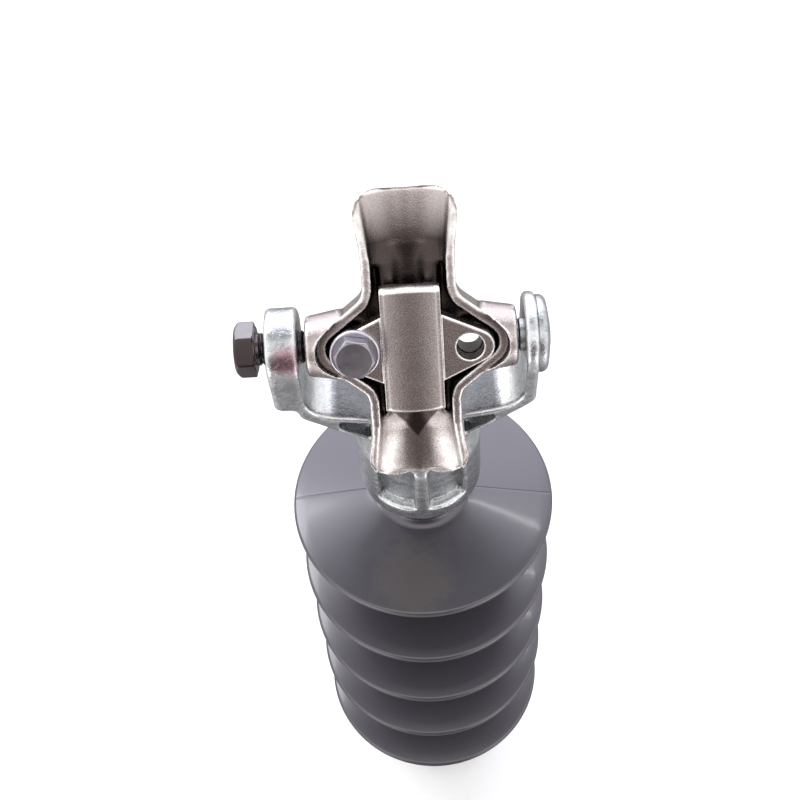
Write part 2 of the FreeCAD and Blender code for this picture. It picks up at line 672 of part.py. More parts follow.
def keeper():
    """Aluminium keeper: the bar with a step down to two lugs, hollowed for the conductor."""
    lugs = plan(mirrored([
        (LUG_REACH, 0, LUG_TIP_ROUND),
        (KEEPER_HALF_WIDTH, LUG_ROOT_HALF, 0),
    ]), LUG_BOTTOM)
    lug_plate = block(lugs, UP * (LUG_TOP - LUG_BOTTOM))
    lug_plate = round_edges(lug_plate, KEEPER_EDGE_ROUND, lambda edge: edge.BoundBox.ZMin > LUG_TOP - TINY)
    body = keeper_barrel().fuse(lug_plate)
    groove_start = FreeCAD.Vector(0, -FAR / 2, CONDUCTOR_AXIS)
    body = body.cut(rod(CONDUCTOR_RADIUS, FAR, groove_start, ALONG))
    for way in (-1, 1):
        body = body.cut(rod(KEEPER_HOLE_RADIUS, FAR, ACROSS * (way * KEEPER_BOLT_SPACING / 2)))
    return set_clamp(body.removeSplitter())


def keeper_washer():
    """Plain washer under the keeper bolt's head, at the left lug."""
    start = FreeCAD.Vector(-KEEPER_BOLT_SPACING / 2, 0, LUG_TOP)
    ring = rod(WASHER_RADIUS, WASHER_THICK, start).cut(rod(KEEPER_HOLE_RADIUS, WASHER_THICK, start))
    return set_clamp(ring)


def keeper_bolt():
    """Hexagon bolt through the keeper's left lug, screwed into the clamp body."""
    seat = LUG_TOP + WASHER_THICK
    start = FreeCAD.Vector(-KEEPER_BOLT_SPACING / 2, 0, seat)
    head = hexagon(KEEPER_BOLT_FLATS, KEEPER_BOLT_HEAD, start, UP, KEEPER_BOLT_TURN)
    length = seat - (HULL_FLOOR + KEEPER_BOLT_SHORT)
    shank = rod(KEEPER_BOLT_RADIUS - THREAD_CLEARANCE, length, start, -UP)
    return set_clamp(head.fuse(shank).removeSplitter())


PIECES = {
    "core_rod": core_rod,
    "housing": housing,
    "top_fitting": top_fitting,
    "base_fitting": base_fitting,
    "top_seal": lambda: seal(FERRULE_BOTTOM, -1),
    "base_seal": lambda: seal(BASE_HEIGHT, 1),
    "pivot_bolt": pivot_bolt,
    "pivot_pin": pivot_pin,
    "clamp_body": clamp_body,
    "keeper": keeper,
    "keeper_washer": keeper_washer,
    "keeper_bolt": keeper_bolt,
}

os.makedirs("parts", exist_ok=True)
for name, make in PIECES.items():
    piece = make()
    if len(piece.Solids) != 1 or not piece.isValid():
        raise ValueError(name + " is not one sound solid")
    piece.Solids[0].exportStep("parts/" + name + ".step")
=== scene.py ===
import math

import bmesh
import bpy
import numpy as np
from bpy.props import FloatProperty, FloatVectorProperty, IntProperty, PointerProperty
from bpy.types import Operator, Panel, PropertyGroup
from mathutils import Matrix, Vector


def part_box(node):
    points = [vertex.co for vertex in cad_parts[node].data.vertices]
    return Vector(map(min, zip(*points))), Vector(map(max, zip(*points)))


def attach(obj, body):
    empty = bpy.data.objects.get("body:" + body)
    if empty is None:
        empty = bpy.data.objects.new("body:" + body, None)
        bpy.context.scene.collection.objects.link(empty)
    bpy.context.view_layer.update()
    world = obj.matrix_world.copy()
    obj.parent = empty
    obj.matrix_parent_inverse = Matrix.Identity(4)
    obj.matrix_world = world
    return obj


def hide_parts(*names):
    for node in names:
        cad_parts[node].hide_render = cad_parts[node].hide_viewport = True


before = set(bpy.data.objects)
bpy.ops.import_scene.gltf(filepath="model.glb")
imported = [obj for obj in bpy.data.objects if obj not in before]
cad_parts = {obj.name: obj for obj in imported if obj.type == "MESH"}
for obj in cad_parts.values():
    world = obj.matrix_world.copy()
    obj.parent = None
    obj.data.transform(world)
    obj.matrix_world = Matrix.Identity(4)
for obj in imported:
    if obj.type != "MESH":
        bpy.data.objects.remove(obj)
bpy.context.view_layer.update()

bl_info = {
    "name": "Line post insulator",
    "version": (1, 0, 0),
    "blender": (4, 5, 0),
    "location": "View3D > Sidebar > Insulator",
    "description": "Surfaces, finishes and stage for a line post insulator with a tilting clamp",
    "category": "Object",
}

MM = 0.001
TURN = 2 * math.pi
MERGE_DISTANCE = 1e-7

# The clamp's own frame: X across, Y along the conductor, Z up from the pivot, tilted about X.
PIVOT = np.array([0.0, 0.0, 0.52])
CLAMP_TILT = math.radians(55.5)
CLAMP_TURN = np.array([
    [1, 0, 0],
    [0, math.cos(CLAMP_TILT), -math.sin(CLAMP_TILT)],
    [0, math.sin(CLAMP_TILT), math.cos(CLAMP_TILT)],
])
HOLE_ACROSS = 27.4 * MM
KEEPER_LUG_TOP = 0.0137
WASHER_THICK = 0.0025

# Sheds and moulding line of the rubber
SHED_TOP_SLOPE = math.tan(math.radians(12))
SHED_UNDER_SLOPE = math.tan(math.radians(5))
SHED_ROOT_ROUND = 0.006
SHED_RIM_ROUND = 0.0023
MOULD_LINE_TURN = math.radians(2.4)
MOULD_LINE_WIDTH = 0.00045

# Marks on the finish: centre, radius, raggedness of the rim, and the scale of its noise
BROWN_STAIN = ((-0.008, -0.056, 0.3695), 0.026, 0.03, 130.0)
RED_PAINT = ((-0.0592, -0.0147, 0.5297), 0.0092, 0.012, 420.0)


# Shapes

def put_in_scene(name, data):
    """New object in the scene for a mesh, lamp or camera."""
    made = bpy.data.objects.new(name, data)
    bpy.context.scene.collection.objects.link(made)
    return made


def new_object(name, vertices, faces):
    """Mesh object at the origin from an array of places and an array of four-sided faces."""
    mesh = bpy.data.meshes.new(name)
    mesh.from_pydata(vertices.tolist(), [], faces.tolist())
    mesh.validate()
    return put_in_scene(name, mesh)


def grid_faces(rows, columns, closed_rows=False):
    """Faces of a grid whose columns run round and join; the last row may join the first."""
    r = np.arange(rows if closed_rows else rows - 1)[:, None]
    c = np.arange(columns)[None, :]
    below, above = r * columns, (r + 1) % rows * columns
    after = (c + 1) % columns
    return np.stack([below + c, below + after, above + after, above + c], -1).reshape(-1, 4)


def turned_piece(name, radius, height, angles, closed=False, axis=np.eye(3), start=(0, 0, 0),
                 crisp=40):
    """Surface turned about an axis. Row i, column j lies at radius[i, j] and height[i, j] along the
    axis, at angles[j] round it. Where it isn't closed on itself, both ends draw in to a point. It
    is shaded smooth, and edges sharper than an angle in degrees stay crisp."""
    rows, columns = radius.shape
    x = radius * np.cos(angles)
    y = radius * np.sin(angles)
    places = np.stack([x, y, height], -1).reshape(-1, 3)
    faces = grid_faces(rows, columns, closed)
    piece = new_object(name, places @ axis.T + np.array(start), faces)
    merge_close(piece.data, MERGE_DISTANCE)
    piece.data.shade_smooth()
    piece.data.set_sharp_from_angle(angle=math.radians(crisp))
    return piece


def even_rows(line, angles=np.linspace(0, TURN, 128, endpoint=False)):
    """Rows of a surface that is the same all round: radius, height and angles."""
    return *(np.repeat(line[:, k:k + 1], len(angles), 1) for k in (0, 1)), angles


def merge_close(mesh, distance):
    """Joins the vertices of a mesh that lie closer together than a distance, and turns its faces
    outwards."""
    work = bmesh.new()
    work.from_mesh(mesh)
    bmesh.ops.remove_doubles(work, verts=work.verts, dist=distance)
    bmesh.ops.recalc_face_normals(work, faces=work.faces)
    work.to_mesh(mesh)
    work.free()


def rounded_profile(corners, spacing, arc_steps=7):
    """Line through corners given as (radius, height, rounding). Each corner is an arc that touches
    both its sides, and straight runs are divided into equal steps no longer than spacing."""
    corners = np.array(corners, float)
    points = [corners[0, :2]]
    for before, corner, after in zip(corners, corners[1:], corners[2:]):
        place = corner[:2]
        one = before[:2] - place
        two = after[:2] - place
        one /= np.linalg.norm(one)
        two /= np.linalg.norm(two)
        if corner[2] <= 0:
            points.append(place)
            continue
        half = math.acos(np.clip(one @ two, -1, 1)) / 2
        middle = one + two
        middle /= np.linalg.norm(middle)
        centre = place + middle * corner[2] / math.sin(half)
        start = place + one * corner[2] / math.tan(half) - centre
        end = place + two * corner[2] / math.tan(half) - centre
        sweep = math.atan2(start[0] * end[1] - start[1] * end[0], start @ end)
        angle = math.atan2(start[1], start[0]) + sweep * np.linspace(0, 1, arc_steps)
        points += list(centre + corner[2] * np.stack([np.cos(angle), np.sin(angle)], -1))
    points.append(corners[-1, :2])
    line = [points[0]]
    for here, there in zip(points, points[1:]):
        steps = max(1, math.ceil(np.linalg.norm(there - here) / spacing))
        line += [here + (there - here) * k / steps for k in range(1, steps + 1)]
    return np.array(line)


def swell(places, wavelength, seed, waves=14):
    """Smooth unevenness, mostly from -1 to 1: twice the mean of plane waves in all directions, with
    lengths near the one given, taken at every place."""
    source = np.random.default_rng(seed)
    direction = source.normal(size=(waves, 3))
    direction /= np.linalg.norm(direction, axis=1, keepdims=True)
    length = wavelength * source.uniform(0.7, 1.5, waves)
    phase = source.uniform(0, TURN, waves)
    return np.sin(places @ (direction / length[:, None] * TURN).T + phase).mean(1) * 2


def climb(value, start, run):
    """0 up to a start, then a straight rise to 1 over a run, and 1 past it."""
    return np.clip((value - start) / run, 0, 1)


def fade(value, end, run):
    """0 from an end on, and before it a straight fall from 1 over a run."""
    return np.clip((end - value) / run, 0, 1)


# Painted shade and painted highlights on the castings, and where they are pulled into shape

def clamp_places(places):
    """Places in the clamp's own frame: across, along the conductor and up from the pivot."""
    return ((places - PIVOT) @ CLAMP_TURN).T


def hole_distance(across, along):
    """Distance from the axis of the nearer one of the two bolt holes."""
    return np.hypot(np.abs(across) - HOLE_ACROSS, along)


def trough_width(reach):
    """Half the width of the saddle's trough inside: even, then wider along the bell mouths."""
    return 17.7 * MM + 3.9 * MM * climb(reach, 44 * MM, 31.2 * MM)


def trough_share(places, normals):
    """1 inside the saddle's trough and pocket, 0 on its rim and outside, with a soft border."""
    across, _, up = clamp_places(places)
    turned = normals @ CLAMP_TURN
    inward = (turned[:, 2] > 0.15) | (turned[:, 0] * np.sign(across) < -0.3)
    return inward * fade(up, 5.2 * MM, 2.0 * MM)


def inside_saddle(across, along, up):
    """1 on the walls and floor of the saddle's pocket and trough, 0 on its outside and underside.
    The pocket's sides close in evenly on the trough, as the sides of a diamond."""
    reach = np.abs(along)
    wide = np.maximum(trough_width(reach), 46.3 * MM - 1.275 * reach)
    within = fade(np.abs(across), wide + 1.8 * MM, 1.0 * MM)
    return within * climb(up, -9.5 * MM, 0.5 * MM)


def saddle_painted_shade(places):
    """Painted shade in the saddle: deep under the keeper and in the bolt holes, fading out towards
    both bell mouths, sooner at the near one, where a painted shadow wedge under the keeper's near
    end and a faint dark line run on down the middle."""
    across, along, up = clamp_places(places)
    reach = np.abs(along)
    depth = np.maximum(fade(up, 7.2 * MM, 6.5 * MM), hole_distance(across, along) < 9.5 * MM)
    depth = depth * inside_saddle(across, along, up)
    beside = climb(np.abs(across), 4 * MM, 6 * MM)
    far = fade(reach, 71 * MM, 22 * MM) ** 1.3
    far = far * np.maximum(0.8 + 0.2 * beside, fade(reach, 56 * MM, 10 * MM))
    near = fade(reach, 45 * MM, 11 * MM) * np.clip(np.abs(across) / (16 * MM), 0.3, 1)
    near = np.where(reach < 34 * MM, 1, near)
    # Painted shadow of the keeper's near end: a wedge narrowing down the near trough.
    half = 10.5 * MM * (1 - (reach - 39.5 * MM) / (15.5 * MM))
    shadow_wedge = fade(np.abs(across), half, 1.5 * MM)
    line = 0.45 * np.exp(-((across / (4.0 * MM)) ** 2))
    return depth * np.where(along > 0, far, np.maximum(near, np.maximum(shadow_wedge, line)))


def saddle_painted_highlight(places):
    """Painted highlight on the saddle: its rim towards the far end and both lips, and a painted
    reflection on the floor of the near bell mouth on either side of the middle."""
    across, along, up = clamp_places(places)
    reach = np.abs(along)
    rim = 8.0 * MM - 7.5 * MM * climb(reach, 22 * MM, 53.2 * MM)
    on_rim = climb(up - rim, -2.1 * MM, 0.8 * MM) * climb(along, 38 * MM, 16 * MM)
    lip = climb(reach + 1.8 * MM * (across / (26.2 * MM)) ** 2, 71.2 * MM, 1.6 * MM)
    floor = climb(-along, 42 * MM, 14 * MM) * inside_saddle(across, along, up)
    floor = floor * climb(np.abs(across), 3 * MM, 5 * MM)
    return np.maximum(on_rim * 0.9, np.maximum(lip * 0.9, floor * 0.5))


def bow(across):
    """How far the keeper's bowed ends fall back at a place across them."""
    return 1.2 * MM * climb(np.abs(across), 0, 14.2 * MM) ** 2


def keeper_ends(places, normals):
    """1 near both ends of the keeper's ridge, 0 between them."""
    return climb(np.abs(clamp_places(places)[1]), 29.6 * MM, 1.2 * MM)


def keeper_painted_highlight(places):
    """Painted highlight on the keeper: the lips along both its sides and its rounded ends."""
    across, along, up = clamp_places(places)
    side = climb(np.abs(across), 12.9 * MM, 0.3 * MM) * (np.abs(across) < 15 * MM)
    end = climb(np.abs(along) + bow(across), 30.9 * MM, 0.4 * MM)
    return 0.9 * np.maximum(side, end) * climb(up, 11.6 * MM, 1.0 * MM)


def keeper_painted_shade(places):
    """Painted shade inside the keeper's two holes."""
    across, along, up = clamp_places(places)
    return (hole_distance(across, along) < 7.3 * MM) * fade(up, 13.2 * MM, 0.4 * MM)


def keeper_fall(places, share):
    """Fall of the keeper's top over its last 2.2 mm, as a power curve, deepest at the very ends,
    and a near end whose corners are drawn out to a straight line."""
    across, along, up = clamp_places(places)
    past = climb(np.abs(along) + bow(across), 29.8 * MM, 2.2 * MM)
    fall = 3.0 * MM * past ** 1.4 * climb(up, 8.0 * MM, 7.0 * MM)
    out = 0.85 * bow(across) * climb(-along, 26 * MM, 4 * MM)
    return -fall[:, None] * CLAMP_TURN[:, 2] - out[:, None] * CLAMP_TURN[:, 1]


def yoke_inside(places):
    """Distance from the middle, height, and 1 on the yoke's inner faces, 0 past their edges."""
    return np.abs(places[:, 0]), places[:, 2], fade(np.abs(places[:, 1]), 16.8 * MM, 1.0 * MM)


def yoke_painted_shade(places):
    """Painted shade on the floor of the yoke, which curves up, between the feet of its two arms,
    where the clamp shades it.
    """
    across, height, inner = yoke_inside(places)
    floor = climb(height - 0.4718, 4.25 * across ** 2, 0.0015) * (height < 0.494)
    return floor * inner * fade(across, 44.5 * MM, 5 * MM)


def yoke_painted_highlight(places):
    """Painted highlight on the inner feet of the yoke's two arms."""
    across, height, inner = yoke_inside(places)
    foot = climb(across, 40.5 * MM, 4 * MM) * climb(height, 0.479, 0.002)
    foot = foot * fade(height, 0.503, 0.006) * (across < 53.5 * MM)
    return foot * inner


def bowl(across, along):
    """Height of a smooth floor for the bell mouths: from the groove's bottom in the middle it rises
    with a power of the share of the way to the wall. Also how far it applies, 0 to 1."""
    reach = np.abs(along)
    run = climb(reach, 32 * MM, 43.2 * MM)
    deep = -6.15 * MM - 0.65 * MM * run ** 2
    edge = 4.0 * MM - 5.0 * MM * run
    side = np.clip(np.abs(across) / trough_width(reach), 0, 1)
    applies = fade(side, 0.95, 0.1) * climb(reach, 39 * MM, 10 * MM)
    return deep + (edge - deep) * side ** 2.6, applies


def flare(places, share):
    """Shift of the trough's floor along the clamp's own up direction: onto the smooth bowl, down
    towards both bell mouths and over the lips, least in the middle, and up a little down the middle
    of the far one."""
    across, along, up = clamp_places(places)
    reach = np.abs(along)
    floor, applies = bowl(across, along)
    middle = np.exp(-((across / (6.0 * MM)) ** 2))
    drop = 2.6 * MM * climb(reach, 34 * MM, 41 * MM) ** 2.2 * (1 - 0.4 * middle)
    lip = 1.2 * MM * climb(reach, 70 * MM, 5 * MM) ** 2 * (1 - 0.7 * middle)
    rise = 0.8 * MM * middle * climb(along, 40 * MM, 14 * MM)
    return (share * (applies * (floor - up) + rise - drop - lip))[:, None] * CLAMP_TURN[:, 2]


# Castings

def vertex_arrays(mesh):
    """Places and normals of a mesh's vertices and its edges' ends, as arrays."""
    places = np.empty(len(mesh.vertices) * 3)
    normals = np.empty(len(mesh.vertices) * 3)
    ends = np.empty(len(mesh.edges) * 2, int)
    mesh.vertices.foreach_get("co", places)
    mesh.vertices.foreach_get("normal", normals)
    mesh.edges.foreach_get("vertices", ends)
    return places.reshape(-1, 3), normals.reshape(-1, 3), ends.reshape(-1, 2)


def neighbour_mean(values, ends):
    """Mean of each vertex's neighbours over the mesh's edges."""
    count = len(values)
    number = np.bincount(ends.ravel(), minlength=count)
    columns = values.reshape(count, -1)
    total = [
        np.bincount(ends[:, 0], columns[ends[:, 1], k], count)
        + np.bincount(ends[:, 1], columns[ends[:, 0], k], count)
        for k in range(columns.shape[1])
    ]
    return (np.stack(total, -1) / np.maximum(number, 1)[:, None]).reshape(values.shape)


def soften_where(places, ends, share, rounds):
    """Moves vertices towards the mean of their neighbours, each by its own share, over and over."""
    for _ in range(rounds):
        places = places + share[:, None] * (neighbour_mean(places, ends) - places)
    return places


def store_values(mesh, name, values):
    """Float attribute on the vertices of a mesh."""
    attribute = mesh.attributes.new(name, "FLOAT", "POINT")
    attribute.data.foreach_set("value", np.asarray(values, np.float32))


def store_bends(mesh, voxel, painted_highlight):
    """Point values edge and hollow, 0 to 1: how far a vertex stands out of, or lies in, the mean of
    the vertices round it along its normal, divided by the voxel and spread to its neighbours. Where
    the painted highlight is higher than the edge value, it takes its place, so the edge value holds
    both bright worn edges and painted highlights."""
    places, normals, ends = vertex_arrays(mesh)
    around = places
    for _ in range(4):
        around = neighbour_mean(around, ends)
    bend = ((places - around) * normals).sum(1) / voxel
    for name, sign in (("edge", 1), ("hollow", -1)):
        value = np.clip(sign * bend * 2.6, 0, 1)
        for _ in range(2):
            value = 0.5 * value + 0.5 * neighbour_mean(value, ends)
        value = np.clip(value * 1.5, 0, 1)
        store_values(mesh, name, np.maximum(value, painted_highlight) if name == "edge" else value)


def add_webs(mesh):
    """Adds the thin metal between each pivot socket and the saddle's rim: a block on each side."""
    work = bmesh.new()
    work.from_mesh(mesh)
    turn = Matrix.Rotation(CLAMP_TILT, 4, "X")
    size = Matrix.Diagonal((7.2 * MM, 12.0 * MM, 1.1 * MM, 1))
    for way in (-1, 1):
        centre = CLAMP_TURN @ np.array([way * 47.2, 0, 7.45]) * MM + PIVOT
        bmesh.ops.create_cube(work, size=1.0, matrix=Matrix.Translation(centre) @ turn @ size)
    work.to_mesh(mesh)
    work.free()


def cast_skin(node, name, voxel, smoothing, lumps, seed, level=None, shift=None, painted_shade=None,
              extra=None, highlight=None, tilt=0.0):
    """Cast surface for one node: a merged copy of its mesh is divided into even small faces, lined
    up with the tilted clamp where a tilt is given, its edges are softened, and each vertex moves
    along its normal by smooth uneven lumps, given as (height, length). A level function gives the
    share by which places are smoothed further, and then moved by a shift function. An extra
    function adds to the mesh first. Two more functions give values to store: one of painted shade,
    and one of painted highlights that is folded into the edge value."""
    work = put_in_scene(name + "_work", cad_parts[node].data.copy())
    merge_close(work.data, 1e-6)
    if extra:
        extra(work.data)
    work.data.transform(Matrix.Rotation(-tilt, 4, "X"))
    divide = work.modifiers.new("Divide", "REMESH")
    divide.mode = "VOXEL"
    divide.voxel_size = voxel
    soften = work.modifiers.new("Soften", "SMOOTH")
    soften.factor = 0.5
    soften.iterations = smoothing
    graph = bpy.context.evaluated_depsgraph_get()
    mesh = bpy.data.meshes.new_from_object(work.evaluated_get(graph))
    mesh.name = name
    mesh.transform(Matrix.Rotation(tilt, 4, "X"))
    bpy.data.objects.remove(work)
    places, normals, ends = vertex_arrays(mesh)
    if level:
        share = level(places, normals)
        for _ in range(2):
            share = neighbour_mean(share, ends)
        places = soften_where(places, ends, share, 14)
        places = places + shift(places, share)
    for k, (height, length) in enumerate(lumps):
        places = places + normals * (height * swell(places, length, seed + k))[:, None]
    low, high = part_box(node)
    mesh.vertices.foreach_set("co", np.clip(places, np.array(low), np.array(high)).ravel())
    mesh.materials.clear()
    mesh.shade_smooth()
    mesh.update()
    # Painted highlights go into the edge value, and painted shade into a value of its own.
    store_bends(mesh, voxel, highlight(places) if highlight else 0)
    store_values(mesh, "painted_shade", painted_shade(places) if painted_shade else np.zeros(len(places)))
    return put_in_scene(name, mesh)


# Fasteners

def soft_hexagon(angles, flats, turn, sharpness=46.0):
    """Radius of a hexagon with slightly rounded corners: the sum, over its six sides, of the share
    of the radius that each side takes, raised to a high power."""
    sides = np.arange(6) * TURN / 6 + turn + TURN / 12
    share = np.clip(np.cos(angles[None, :] - sides[:, None]), 0, 1) * 2 / flats
    return (share ** sharpness).sum(0) ** (-1 / sharpness)


def thread_ridge(height, angles, pitch):
    """Height of a thread's ridge, 0 at the root to 1 at the crest: a triangle wave along the axis
    that moves on by one pitch in each turn, with its tips cut flat."""
    place = (height / pitch - angles / TURN) % 1.0
    return np.clip(1.35 * (1 - np.abs(2 * place - 1)) - 0.1, 0, 1)


def hexagon_bolt(flats, head, radius, length, pitch, plain, bare, turn, tip):
    """Rows of a bolt along Z with its washer face at height 0 and its head upwards, as one surface
    turned round the axis: flat top, chamfer cone, six sides, washer face, plain neck, thread and
    a turned-down tip of its own radius."""
    angles = np.linspace(0, TURN, 144, endpoint=False)
    six = soft_hexagon(angles, flats, turn)
    top = flats / 2 * 0.93
    rows = [(0, head)]
    rows += [(top * share, head - 0.25 * MM * (share < 0.8)) for share in (0.35, 0.7, 0.92)]
    for height in np.concatenate([head - np.linspace(0, 1, 13) ** 1.5 * 0.28 * head, [0.4 * head]]):
        cone = top + (head - height) / math.tan(math.radians(30))
        rows.append(((six ** -22 + cone ** -22) ** (-1 / 22), height))
    face = 0.5 * MM
    rows += [
        (six, 1.6 * face),
        (np.minimum(six, flats / 2 * 1.06), face),
        (flats / 2 * 0.95, 0.9 * face),
        (flats / 2 * 0.94, 0),
        (radius + 0.2 * MM, 0),
        (radius, -0.3 * MM),
    ]
    steps = int((length - plain - bare) / pitch * 9)
    depth = 0.58 * pitch
    for height in -plain - np.linspace(0, 1, steps) * (length - plain - bare):
        fading = np.clip(min(-height - plain, length - bare + height) / (0.5 * pitch), 0, 1)
        rows.append((radius - depth * fading * (1 - thread_ridge(height, angles, pitch)), height))
    rows += [
        (tip, bare - length - (radius - tip)),
        (tip, 0.8 * MM - length),
        (tip - 0.8 * MM, -length),
        (0, -length),
    ]
    return *(np.array([row[k] + 0 * angles for row in rows]) for k in (0, 1)), angles


# Materials

def add_node(beside, kind, inputs=None, **settings):
    """Shader node in the tree of a socket or node, or in a tree, with settings by attribute and
    inputs by name or place: a value or a socket."""
    node = beside.id_data.nodes.new("ShaderNode" + kind)
    for key, value in settings.items():
        setattr(node, key, value)
    for key, value in (inputs or {}).items():
        set_input(node, key, value)
    return node


def set_input(node, key, value):
    """Links a socket to a node's input, or writes a value there."""
    if isinstance(value, bpy.types.NodeSocket):
        node.id_data.links.new(value, node.inputs[key])
    else:
        node.inputs[key].default_value = value


def ramp(value, stops):
    """Colour ramp from (place, colour) stops; puts out a colour."""
    node = add_node(value, "ValToRGB", {"Fac": value})
    band = node.color_ramp
    while len(band.elements) < len(stops):
        band.elements.new(0.5)
    for element, (place, colour) in zip(band.elements, stops):
        element.position = place
        element.color = (*colour, 1)
    return node.outputs["Color"]


def blend_colour(mask, one, two, mode="MIX"):
    """Mix of two colours by a mask. Either the mask or the first colour is a socket."""
    beside = mask if isinstance(mask, bpy.types.NodeSocket) else one
    node = add_node(beside, "Mix", {0: mask}, data_type="RGBA", blend_type=mode)
    for key, value in ((6, one), (7, two)):
        socket = isinstance(value, bpy.types.NodeSocket)
        set_input(node, key, value if socket else (*value[:3], 1))
    return node.outputs[2]


def calculate(operation, first, *others):
    """Math node over a socket and another value; puts out a value."""
    values = dict(enumerate((first, *others)))
    return add_node(first, "Math", values, operation=operation).outputs[0]


def times(first, second):
    """Product of a socket and another value."""
    return calculate("MULTIPLY", first, second)


def vector_math(operation, one, two, output=0):
    """Vector node over a socket and a vector or another socket."""
    node = add_node(one, "VectorMath", {0: one, 1: two}, operation=operation)
    return node.outputs[output]


def tint(base, mask, share, colour):
    """Lays a colour over a base by a share of a mask."""
    return blend_colour(times(mask, share), base, colour)


def shades(colour, share):
    """The same colour, darker or lighter by a share."""
    return [part * share for part in colour]


def spread(value, low, high, out_low=0.0, out_high=1.0):
    """Clamped stretch of a value from one range to another."""
    names = ("Value", "From Min", "From Max", "To Min", "To Max")
    values = dict(zip(names, (value, low, high, out_low, out_high)))
    return add_node(value, "MapRange", values).outputs["Result"]


def noise(place, scale, detail=3.0, roughness=0.55, distortion=0.0):
    """Noise value at a place, with a scale in waves per metre."""
    names = ("Vector", "Scale", "Detail", "Roughness", "Distortion")
    values = dict(zip(names, (place, scale, detail, roughness, distortion)))
    return add_node(place, "TexNoise", values).outputs["Fac"]


def stored(place, name):
    """Value stored on the vertices of a piece under a name."""
    return add_node(place, "Attribute", attribute_name=name).outputs["Fac"]


def group(name, values, outputs, build):
    """Shader node group, made once. It takes a place and values with their defaults, and a function
    fills it and gives its output sockets in order."""
    tree = bpy.data.node_groups.new(name, "ShaderNodeTree")
    tree.interface.new_socket("Place", in_out="INPUT", socket_type="NodeSocketVector")
    for label, value in values.items():
        socket = tree.interface.new_socket(label, in_out="INPUT", socket_type="NodeSocketFloat")
        socket.default_value = value
    for label in outputs:
        tree.interface.new_socket(label, in_out="OUTPUT", socket_type="NodeSocketFloat")
    entry = tree.nodes.new("NodeGroupInput")
    leave = tree.nodes.new("NodeGroupOutput")
    for socket, result in zip(leave.inputs, build(entry.outputs)):
        tree.links.new(result, socket)
    return tree


def build_wear_and_highlight(given):
    """Worn edges and painted highlights: the stored edge value, which holds both, broken up by two
    sizes of noise, and the hollows.
    """
    edge = stored(given["Place"], "edge")
    fine = noise(given["Place"], 900.0)
    broad = noise(given["Place"], 120.0)
    uneven = times(calculate("SUBTRACT", fine, 0.5), 0.25)
    broken = spread(calculate("ADD", edge, uneven), 0.25, 0.75)
    mask = times(broken, given["Amount"])
    patch = spread(broad, 0.3, 0.6, 0.55, 1.0)
    hollow = spread(stored(given["Place"], "hollow"), 0.1, 0.7)
    return times(mask, patch), hollow


def build_grain(given):
    """Blasted or sprayed grain: fine noise with some coarser noise for height, and spots where the
    fine one is high."""
    fine = noise(given["Place"], given["Scale"], 4.0, 0.7)
    wider = times(given["Scale"], 0.22)
    coarse = times(noise(given["Place"], wider, 3.0), 0.3)
    height = calculate("ADD", times(fine, 0.7), coarse)
    return height, spread(fine, 0.4, 0.62)


def build_spangle(given):
    """Zinc: crystal cells with their own brightness, and lumps and runs where the metal drained."""
    place = given["Place"]
    bend = add_node(place, "TexNoise", {"Vector": place, "Scale": 220.0}).outputs["Color"]
    place = vector_math("ADD", place, vector_math("MULTIPLY", bend, (0.006,) * 3))
    cells = add_node(place, "TexVoronoi", {"Vector": place, "Scale": given["Scale"]})
    crystal = add_node(place, "SeparateColor", {"Color": cells.outputs["Color"]}).outputs[0]
    run = noise(place, given["Lumps"], 2.0, 0.5, 0.6)
    ridges = calculate("ABSOLUTE", calculate("SUBTRACT", run, 0.5))
    return crystal, calculate("SUBTRACT", run, times(ridges, 0.8))


def build_dust(given):
    """Dust: two sizes of noise, kept where both are high."""
    broad = noise(given["Place"], given["Scale"], 4.0, 0.6, 0.4)
    fine = noise(given["Place"], times(given["Scale"], 9.0), 3.0)
    broad, fine = spread(broad, 0.42, 0.72), spread(fine, 0.3, 0.7)
    return [times(broad, fine)]


# Each group: its values with their defaults, its outputs, and the function that fills it.
GROUPS = {
    "Worn edges": ({"Amount": 1.0}, ("Edge", "Hollow"), build_wear_and_highlight),
    "Cast grain": ({"Scale": 1800.0}, ("Height", "Spots"), build_grain),
    "Zinc spangle": ({"Scale": 260.0, "Lumps": 420.0}, ("Crystal", "Height"), build_spangle),
    "Dust": ({"Scale": 60.0}, ("Mask",), build_dust),
}


def place_group(place, name, **inputs):
    """Puts a named group into a place's material, building it the first time."""
    known = bpy.data.node_groups.get(name) or group(name, *GROUPS[name])
    return add_node(place, "Group", {"Place": place, **inputs}, node_tree=known).outputs


def start_material(name, **shader):
    """New material; gives it, the object place and its shader with constant values set."""
    material = bpy.data.materials.new(name)
    material.use_nodes = True
    surface = material.node_tree.nodes["Principled BSDF"]
    for key, value in shader.items():
        surface.inputs[key.replace("_", " ")].default_value = value
    place = add_node(material.node_tree, "TexCoord").outputs["Object"]
    return material, place, surface


def connect(surface, colour, rough=None, bumps=()):
    """Links colour and roughness, and stacks bumps given as (height, distance, strength)."""
    links = {"Base Color": colour, "Roughness": rough, "Normal": None}
    for height, distance, strength in bumps:
        values = {"Height": height, "Distance": distance, "Strength": strength}
        if links["Normal"]:
            values["Normal"] = links["Normal"]
        links["Normal"] = add_node(surface, "Bump", values).outputs["Normal"]
    for name, socket in links.items():
        if socket:
            set_input(surface, name, socket)


def near_spot(place, centre, radius, breakup, scale):
    """Mask of a ragged spot: 1 at its centre, 0 past its radius, its rim moved by noise."""
    away = vector_math("DISTANCE", place, centre, "Value")
    ragged = calculate("SUBTRACT", noise(place, scale, 4.0, 0.7), 0.5)
    moved = calculate("ADD", away, times(ragged, breakup))
    return spread(moved, radius * 0.55, radius, 1.0, 0.0)


